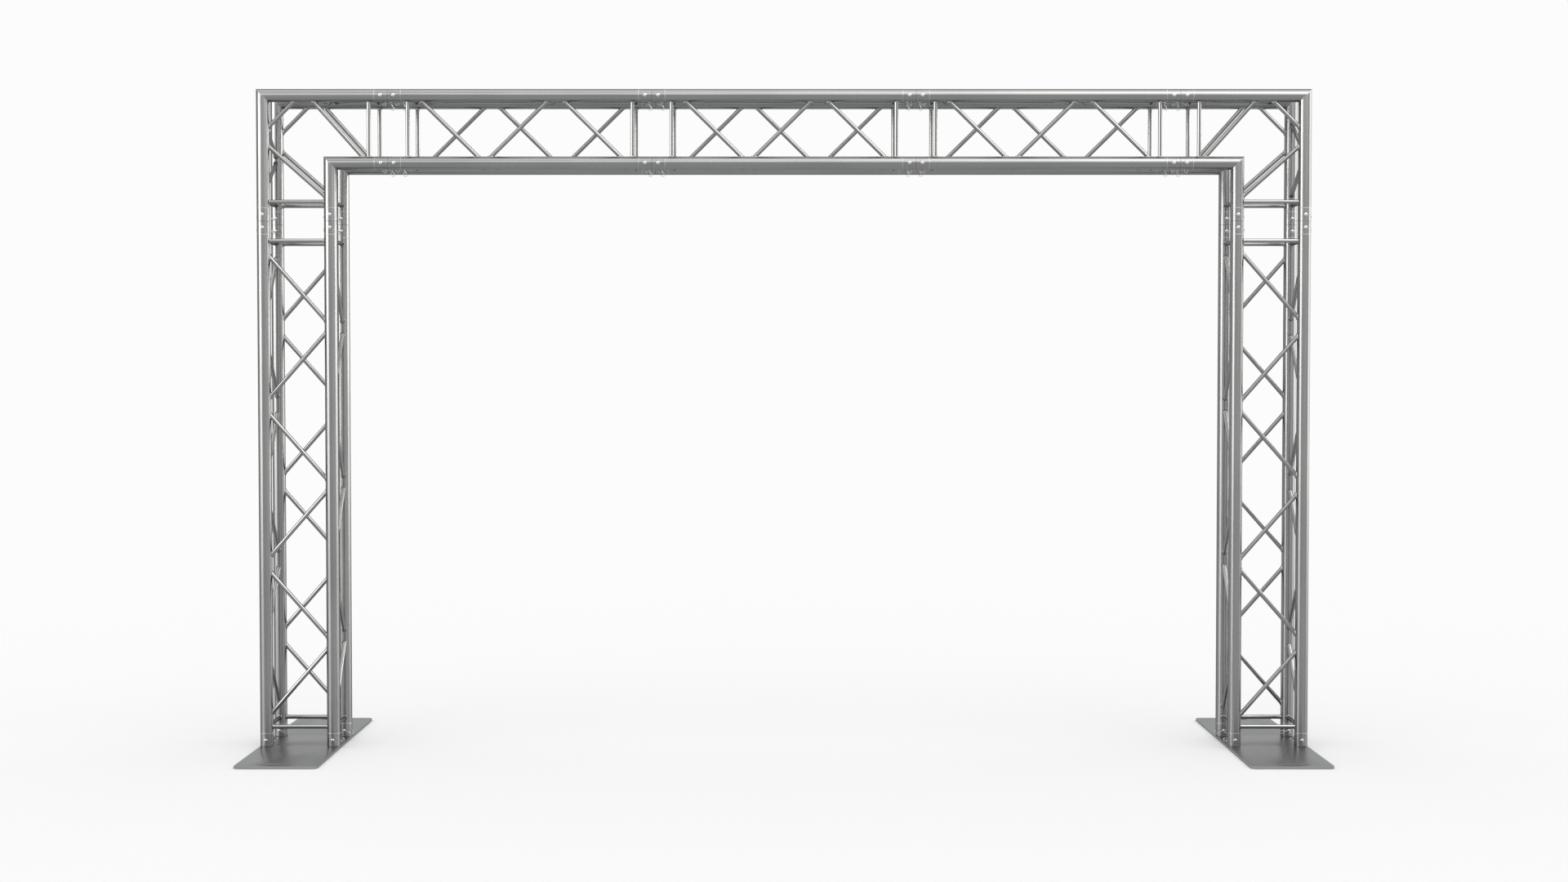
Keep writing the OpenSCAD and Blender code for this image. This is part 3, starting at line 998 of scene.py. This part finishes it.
for name in CORNERS:
    outer, inner, half = corner_axes(name)
    paths = [mitre_path(name, e, y) for e in (outer, inner) for y in (-half, half)]
    piece = swept(name + "_mitre_welds", paths, True, MITRE_BEAD_R, 6, weld_finish)
    keep(piece, "arch", "chord_tube")
    print(piece.name, len(paths), "beads")

# %% [markdown]
# ## Pins
# A tapered steel pin goes through each socket and its coupler. It is driven in from outside, so
# its head stands a little proud there, and it carries a cross hole for the spring clip at its
# thin end. Its edges are rounded and the head is slightly domed by the hammer.

# %% One pin, along Z, with the chord's axis at the origin
PIN_HEAD, PIN_TAIL = 0.004, 0.012
CLIP_SEAT = 0.0065
WIRE_R, CLIP_HOLE_R, CUT_REACH = 0.0012, 0.0015, 0.01


def round_bar(radius, low, high):
    """The profile of a plain round bar along Z, closed at both ends."""
    return [(0, low), (radius, low), (radius, high), (0, high)]


head_end, tail_end = -CHORD_R - PIN_HEAD, CHORD_R + PIN_TAIL
head_r, tail_r = pin_radius(head_end), pin_radius(tail_end)
# From the middle of the domed head over its rim, then along the taper to the rounded tip.
pin_part = turned("pin_part", [
    (0, head_end), (head_r * 0.5, head_end + 0.0001), (head_r - 0.0014, head_end + 0.0004),
    (head_r - 0.0004, head_end + 0.0009), (head_r, head_end + 0.0016),
    (tail_r, tail_end - 0.0016), (tail_r - 0.0004, tail_end - 0.0008),
    (tail_r - 0.0012, tail_end - 0.0002), (0, tail_end),
], 28)
hole = turned("clip_hole", round_bar(CLIP_HOLE_R, -CUT_REACH, CUT_REACH), 16)
hole.data.transform(Matrix.Rotation(math.radians(90), 4, "Y"))
hole.data.transform(Matrix.Translation((0, 0, CHORD_R + CLIP_SEAT)))
smooth_but_for_edges(drill(pin_part, hole), 35)
print("pin:", len(pin_part.data.polygons), "faces")

# %% Where the pins and clips go
PULLS = {j["name"].removesuffix("_clip_pull"): Vector(j["axis"]) for j in frame["joints"]}


def pin_places(joint):
    """Each pin's place on its chord's axis and its way in. A base has one row of pins."""
    low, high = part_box(joint + "_pins")
    middle = (low + high) / 2
    half = (high.y - low.y) / 2 - PIN_HEAD - CHORD_R
    upright = joint.endswith(("leg_joint", "base"))
    run, across = (Z, X) if upright else (X, Z)
    rows = [0] if joint.endswith("base") else [-PIN_INSET, PIN_INSET]
    centre = Vector((middle.x, 0, middle.z))
    places = []
    for side in (-1, 1):
        for chord in (-1, 1):
            for row in rows:
                place = centre + across * half * chord + Y * half * side + run * row
                places.append((place, -Y * side))
    return places


for joint, pull in PULLS.items():
    rows = [seat(place, pull, inward) for place, inward in pin_places(joint)]
    piece = copy_part(
        joint + "_taper_pins", pin_part, rows, pin_finish, "arch", "pin", joint + "_pins")
    print(piece.name, len(rows), "pins,", len(piece.data.polygons), "faces")

# %% [markdown]
# ## Spring clips
# A clip is one piece of bent wire: a straight leg through the pin's cross hole, a finger ring,
# and a sprung leg that bows over the pin. The wire's course is written as steps, either a run or
# a bend, and a loop walks along them. The clips are the moving parts here: each joint's clips
# slide off their pins, so they ride on their own body.

# %% The wire's course
RING_R, NIP_R, BOW_R, FLARE_R = 0.006, 0.004, 0.008, 0.006
RING_TURN, NIP_TURN, FLARE_TURN = math.radians(35), math.radians(30), math.radians(20)
CLIP_REACH, CLIP_TIP, CLIP_GAP, NIP_GAP = 0.035, 0.008, 0.0003, 0.0002
NIP = 2 * WIRE_R + NIP_GAP

ring_x = CLIP_REACH - WIRE_R - RING_R
bow_side = pin_radius(CHORD_R + CLIP_SEAT) + WIRE_R + CLIP_GAP
ring_drop = RING_R * (1 + math.cos(RING_TURN)) - NIP_R * (1 - math.cos(RING_TURN))
run_out = (ring_drop - NIP) / math.sin(RING_TURN)
run_back = (bow_side - NIP - (NIP_R + BOW_R) * (1 - math.cos(NIP_TURN))) / math.sin(NIP_TURN)
CLIP_STEPS = [
    (CLIP_TIP + ring_x, 0, 0),
    (0, RING_R, math.pi + RING_TURN),
    (run_out, 0, 0),
    (0, NIP_R, -RING_TURN - NIP_TURN),
    (run_back, 0, 0),
    (0, BOW_R, NIP_TURN),
    (PIN_SMALL_R, 0, 0),
    (0, FLARE_R, -FLARE_TURN),
    (2 * WIRE_R, 0, 0),
]


def wire_course(steps, bend_step=math.radians(12)):
    """Walks along the steps of (run, bend radius, bend angle) and returns the points."""
    place, heading = Vector((-CLIP_TIP, 0, 0)), 0.0
    points = [place.copy()]
    for run, radius, turn in steps:
        pieces = max(1, math.ceil(abs(turn) / bend_step))
        part = turn / pieces
        length = run if radius == 0 else 2 * radius * math.sin(abs(part) / 2)
        for _ in range(pieces):
            heading += part / 2
            place = place + Vector((math.cos(heading), math.sin(heading), 0)) * length
            heading += part / 2
            points.append(place)
    return points


clip_part = swept("clip_part", [wire_course(CLIP_STEPS)], False, WIRE_R, 10, clip_finish)
print("clip:", len(clip_part.data.polygons), "faces")

# %% Clips on their pins
def clip_seat(place, inward, pull):
    """The ring points the way the clip pulls off. The bow hangs down, or to the right."""
    bow = -Z if abs(pull.x) > 0.5 else X
    return seat(place + inward * (CHORD_R + CLIP_SEAT), pull, pull.cross(bow))


for joint, pull in PULLS.items():
    rows = [clip_seat(place, inward, pull) for place, inward in pin_places(joint)]
    clips = joint + "_clips"
    piece = copy_part(joint + "_wire_clips", clip_part, rows, clip_finish, clips, "clip", clips)
    print(piece.name, len(rows), "clips,", len(piece.data.polygons), "faces")

# %% [markdown]
# ## Base plates
# Each foot is a flat plate with round corners and a carrying slot at both ends. The outline and
# its holes are one flat curve, which Blender fills, thickens and rounds at every edge, inside
# the slots too. It becomes a mesh before it gets its place.

# %% Outlines for the plates
PLATE_CORNER_R = 0.020
PLATE_EASE = 0.0008
SLOT_LEN, SLOT_W, SLOT_INSET = 0.115, 0.030, 0.035
BOLT_HEAD_R, BOLT_R, BOLT_RECESS = 0.012, 0.006, 0.0005
HEAD_HOLE_GAP = 0.00015
# Kept off a slot's end radius, so that no two points of its outline meet.
TINY = 0.00001


def round_outline(length_x, length_y, radius, centre=(0, 0), steps=12):
    """Points of a rectangle with round corners. With a radius of half its side it is a slot."""
    points = []
    for corner, (sx, sy) in enumerate(((1, 1), (-1, 1), (-1, -1), (1, -1))):
        for i in range(steps + 1):
            angle = math.pi / 2 * (corner + i / steps)
            x = centre[0] + sx * (length_x / 2 - radius) + radius * math.cos(angle)
            y = centre[1] + sy * (length_y / 2 - radius) + radius * math.sin(angle)
            points.append((x, y))
    return points


def plate_mesh(name, outlines, thickness, ease):
    curve = bpy.data.curves.new(name, "CURVE")
    curve.dimensions = "2D"
    curve.fill_mode = "BOTH"
    curve.extrude = thickness / 2 - ease
    curve.bevel_depth = ease
    curve.bevel_resolution = 2
    curve.offset = -ease
    for outline in outlines:
        spline = curve.splines.new("POLY")
        spline.points.add(len(outline) - 1)
        for point, (x, y) in zip(spline.points, outline):
            point.co = (x, y, 0, 1)
        spline.use_cyclic_u = True
    source = link_object(name, curve)
    mesh = plain_mesh(source)
    bpy.data.objects.remove(source)
    shape = bmesh.new()
    shape.from_mesh(mesh)
    bmesh.ops.remove_doubles(shape, verts=shape.verts, dist=1e-6)
    bmesh.ops.recalc_face_normals(shape, faces=shape.faces)
    shape.to_mesh(mesh)
    shape.free()
    return mesh


# %% Both plates
for side in ("left", "right"):
    low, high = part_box(side + "_base_plate")
    size, middle = high - low, (low + high) / 2
    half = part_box("leg_" + side + "_sockets")[1].y - CHORD_R
    outlines = [round_outline(size.x, size.y, PLATE_CORNER_R)]
    for end in (-1, 1):
        slot_centre = (0, end * (size.y / 2 - SLOT_INSET))
        outlines.append(round_outline(SLOT_LEN, SLOT_W, SLOT_W / 2 - TINY, slot_centre))
    hole_d = 2 * (BOLT_HEAD_R + HEAD_HOLE_GAP)
    for x in (-half, half):
        for y in (-half, half):
            outlines.append(round_outline(hole_d, hole_d, hole_d / 2 - TINY, (x, y), 8))
    name = side + "_foot_plate"
    piece = link_object(name, plate_mesh(name, outlines, size.z, PLATE_EASE))
    piece.data.transform(Matrix.Translation(middle))
    piece.data.materials.append(plate_finish)
    smooth_but_for_edges(piece, 35)
    keep(piece, "arch", "plate", side + "_base_plate")
    print(piece.name, [round(x, 3) for x in size], len(piece.data.polygons), "faces")

# %% [markdown]
# ## Bolts and couplers
# Four countersunk bolts hold the half couplers from under each plate. Only their heads can be
# seen, from below, with a hexagon socket in each. The couplers themselves are hidden inside the
# sockets, and their shape in the frame is right, so they only get a finish.

# %% Bolts
BOLT_EASE, BOLT_TIP_EASE = 0.0004, 0.0008
HEXAGON_R, HEXAGON_TOP, BELOW = 0.0046, 0.0045, -0.002

head_top = BOLT_RECESS + BOLT_HEAD_R - BOLT_R
bolt_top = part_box("left_base_bolts")[1].z
bolt_part = turned("bolt_part", [
    (0, BOLT_RECESS), (BOLT_HEAD_R - BOLT_EASE, BOLT_RECESS),
    (BOLT_HEAD_R, BOLT_RECESS + BOLT_EASE), (BOLT_R, head_top),
    (BOLT_R, bolt_top - BOLT_TIP_EASE), (BOLT_R - BOLT_TIP_EASE, bolt_top), (0, bolt_top),
], 40)
hexagon = turned("hexagon", round_bar(HEXAGON_R, BELOW, HEXAGON_TOP), 6)
smooth_but_for_edges(drill(bolt_part, hexagon))

for side in ("left", "right"):
    low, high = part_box(side + "_base_bolts")
    rows = [
        seat(Vector((x, y, 0)), X, Z)
        for x in (low.x + BOLT_HEAD_R, high.x - BOLT_HEAD_R)
        for y in (low.y + BOLT_HEAD_R, high.y - BOLT_HEAD_R)
    ]
    copy_part(
        side + "_countersunk_bolts", bolt_part, rows, bolt_finish, "arch", "bolt",
        side + "_base_bolts")
    print(side, len(rows), "bolts")

# %% Couplers keep their shape
for name, node in frame["nodes"].items():
    if name.endswith("_couplers"):
        node.data.materials.clear()
        node.data.materials.append(coupler_finish)
for part in (socket_part, girth_part, pin_part, clip_part, bolt_part):
    bpy.data.objects.remove(part)
print("carried over:", [n for n in frame["nodes"] if n.endswith("_couplers")])

# %% [markdown]
# ## Floor and light
# Bare metal shows its surroundings, so the light is built for its reflections. The floor and the
# background are the same white, and metal sees both. The world's diffuse light is a little
# stronger, so that the floor, which gives back less than it gets, comes out as white as the rest
# and keeps only the object's soft shadow.
#
# Soft panels overhead and in front make the pale band along the top of every level tube. Tall
# panels at the sides draw the bright lines down the upright ones. Nothing but the metal sees
# them. Flat or end-on metal would mirror a panel as one white sheet, so light linking keeps
# every panel off the plates, the side panels off the beam's chords, and the upper right one off
# the chords of the right leg and corner too. The end frames of the legs get two panels of their
# own, because the ones close to the plates have little else that is bright to mirror.

# %% Floor
FLOOR_SIZE = 60.0
WHITE = 0.973


def floor_material():
    material = bpy.data.materials.new("pale_floor")
    material.use_nodes = True
    shader = material.node_tree.nodes["Principled BSDF"]
    shader.inputs["Base Color"].default_value = (WHITE, WHITE, WHITE, 1)
    shader.inputs["Roughness"].default_value = 0.9
    shader.inputs["Specular IOR Level"].default_value = 0.0
    return material


floor_mesh = bpy.data.meshes.new("floor")
edge = FLOOR_SIZE / 2
corners = [(-edge, -edge, 0), (edge, -edge, 0), (edge, edge, 0), (-edge, edge, 0)]
floor_mesh.from_pydata(corners, [], [(0, 1, 2, 3)])
floor_mesh.materials.append(floor_material())
floor = link_object("floor", floor_mesh)
print("floor", FLOOR_SIZE, "m")

# %% World
WORLD_DIFFUSE = 1.0 / WHITE


def white_world():
    world = bpy.data.worlds.new("white_room")
    world.use_nodes = True
    tree = world.node_tree
    background = tree.nodes["Background"]
    background.inputs["Color"].default_value = (WHITE, WHITE, WHITE, 1)
    rays = tree.nodes.new("ShaderNodeLightPath").outputs
    mirrored = number_step(tree, "MAXIMUM", rays["Is Glossy Ray"], rays["Is Transmission Ray"])
    seen = number_step(tree, "MAXIMUM", rays["Is Camera Ray"], mirrored)
    lift = times(tree, seen, 1.0 - WORLD_DIFFUSE)
    feed(tree, background.inputs["Strength"], number_step(tree, "ADD", lift, WORLD_DIFFUSE))
    return world


bpy.context.scene.world = white_world()
bpy.context.scene.view_settings.view_transform = "Standard"
print("world", WHITE, "to the eye and", round(WORLD_DIFFUSE, 3), "times that as light")

# %% What each lamp spares or lights
FLAT_PIECES = ("_foot_plate", "_countersunk_bolts")
CHORD_PIECES = ("_chord_tubes", "_turned_sockets", "_girth_welds", "_mitre_welds")


def pieces_named(starts, ends):
    pieces = bpy.context.scene.objects
    return [p for p in pieces if p.name.startswith(starts) and p.name.endswith(ends)]


def light_group(name, state, pieces):
    """A group for light linking. A lamp spares its pieces if the state is EXCLUDE, and lights
    nothing but them if it is INCLUDE."""
    group = bpy.data.collections.new(name)
    for piece in pieces:
        group.objects.link(piece)
    for member in group.collection_objects:
        member.light_linking.link_state = state
    return group


flat = pieces_named("", FLAT_PIECES)
beam_chords = pieces_named("beam_", CHORD_PIECES)
right_chords = pieces_named(("corner_right", "leg_right"), CHORD_PIECES)
no_plates = light_group("spared_by_overhead_light", "EXCLUDE", flat)
no_beam = light_group("spared_by_side_light", "EXCLUDE", flat + beam_chords)
left_half = light_group("spared_by_upper_right_light", "EXCLUDE", flat + beam_chords + right_chords)
leg_rings = light_group("lit_by_ring_light", "INCLUDE", pieces_named("leg_", "_end_rings"))

# %% Lamps
WARM = (1.0, 0.965, 0.93)


def soft_panel(name, group, place, target, width, height, radiance):
    """A panel lamp that looks at the target and lights what its group lets it light.
    radiance is its brightness as metal sees it."""
    data = bpy.data.lights.new(name, "AREA")
    data.shape = "RECTANGLE"
    data.size, data.size_y = width, height
    data.energy = radiance * math.pi * width * height
    data.color = WARM
    lamp = bpy.data.objects.new(name, data)
    lamp.location = place
    lamp.rotation_euler = (Vector(target) - Vector(place)).to_track_quat("-Z", "Y").to_euler()
    lamp.visible_camera = False
    lamp.visible_diffuse = False
    lamp.light_linking.receiver_collection = group
    bpy.context.scene.collection.objects.link(lamp)
    print(name, "radiance", radiance)
    return lamp


soft_panel("overhead_panel", no_plates, (0, -0.5, 7.5), (0, -0.5, 2), 18, 8, 1.2)
soft_panel("overhead_right_panel", no_plates, (4.0, -4.3, 7.4), (4.0, -1.5, 2), 9, 4, 1.6)
soft_panel("overhead_far_right_panel", no_plates, (5.9, -4.3, 7.3), (5.9, -1.5, 2), 9, 4, 1.8)
soft_panel("front_panel", no_plates, (0, -8.5, 6.5), (0, 0, 2.3), 18, 4, 1.7)
soft_panel("front_right_panel", no_plates, (5.0, -8.5, 6.5), (5.0, 0, 2.3), 9, 4, 1.2)
soft_panel("left_panel", no_beam, (-11.6, -6.6, 3.5), (0, 0, 3.5), 9, 7, 3.4)
soft_panel("upper_left_panel", no_beam, (-11.5, -6.5, 4.75), (0, 0, 4.75), 9, 4.5, 4.3)
soft_panel("right_panel", no_beam, (11, 4.5, 3.5), (0, 4.5, 3.5), 14, 7, 3.6)
soft_panel("upper_right_panel", left_half, (10.9, 4.5, 4.75), (0, 4.5, 4.75), 12, 4.5, 3.2)
soft_panel("diagonal_right_panel", no_plates, (7.2, -5.2, 8.4), (0.8, 0, 2.3), 5, 6, 3.0)
soft_panel("ring_panel", leg_rings, (0, -3.0, 7.4), (0, -1.0, 0), 18, 8, 1.2)
soft_panel("right_ring_panel", leg_rings, (6.0, -3.0, 7.4), (6.0, -1.0, 0), 9, 8, 2.4)
